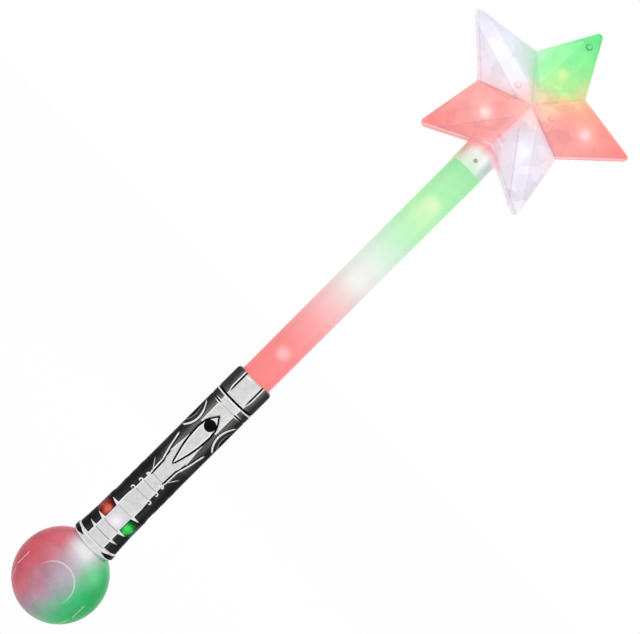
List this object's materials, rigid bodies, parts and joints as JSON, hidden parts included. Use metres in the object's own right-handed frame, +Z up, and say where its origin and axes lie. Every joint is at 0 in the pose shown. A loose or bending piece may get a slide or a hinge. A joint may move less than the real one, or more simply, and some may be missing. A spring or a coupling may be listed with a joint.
{
  "type": "toy magic wand",
  "caption": "Light-up toy wand: faceted clear star on a frosted light tube, silver and black grip with a push button, battery bay, and a clear prism ball at the butt.",
  "frame": {"origin": "lowest point of the ball, on the wand's axis", "axes": "+Z runs up the wand from the ball to the star's top tip, -Y is the front with the push button, +X is to the right seen from the front"},
  "size_m": [0.0994, 0.0454, 0.38],
  "materials": {
    "prism_ball": "clear moulded polystyrene, lit from inside",
    "metallised_shell": "silver metallised ABS with black sides",
    "zinc_screw": "zinc plated",
    "window_clear": "clear moulded acrylic, lit from inside",
    "white_board": "white solder mask",
    "green_board": "green solder mask",
    "lamp_red": "tinted epoxy lens",
    "lamp_white": "clear epoxy lens",
    "lamp_green": "tinted epoxy lens",
    "lead_cover": "PVC insulation",
    "switch_black": "moulded nylon",
    "switch_white": "moulded nylon",
    "button_black": "moulded ABS",
    "cell_steel": "nickel plated",
    "white_plug": "moulded ABS",
    "frosted_tube": "frosted polypropylene, lit from inside",
    "clear_coupler": "clear moulded polystyrene",
    "prism_star": "clear moulded polystyrene, lit from inside"
  },
  "bodies": {
    "wand": {"ball_front_shell": "prism_ball", "ball_back_shell": "prism_ball", "handle_front_shell": "metallised_shell", "handle_back_shell": "metallised_shell", "top_ferrule": "metallised_shell", "handle_screws": "zinc_screw", "star_screws": "zinc_screw", "window_front": "window_clear", "window_back": "window_clear", "end_board": "white_board", "tube_board": "white_board", "star_board": "white_board", "main_board": "green_board", "end_lamp_red": "lamp_red", "tube_lamp_red": "lamp_red", "star_lamps_red": "lamp_red", "end_lamp_white": "lamp_white", "tube_lamp_white": "lamp_white", "star_lamps_white": "lamp_white", "end_lamp_green": "lamp_green", "tube_lamp_green": "lamp_green", "star_lamp_green": "lamp_green", "end_leads": "lead_cover", "tube_leads": "lead_cover", "star_leads": "lead_cover", "tact_switch": "switch_black", "button_cell_1": "cell_steel", "button_cell_2": "cell_steel", "button_cell_3": "cell_steel", "battery_spring": "cell_steel", "battery_plate": "cell_steel", "tube_plug": "white_plug", "light_tube": "frosted_tube", "star_coupler": "clear_coupler", "star_front_shell": "prism_star", "star_back_shell": "prism_star"},
    "button": {"push_button": "button_black", "switch_plunger": "switch_white"},
    "door": {"battery_door": "metallised_shell", "door_screw": "zinc_screw"}
  },
  "joints": [
    {"name": "button_press", "type": "slide", "parent": "wand", "child": "button", "axis": [0, 1, 0], "range_m": [0, 0.0006], "stiffness_N_per_m": 2500},
    {"name": "door_lift", "type": "slide", "parent": "wand", "child": "door", "axis": [0, 1, 0], "range_m": [0, 0.025]}
  ]
}
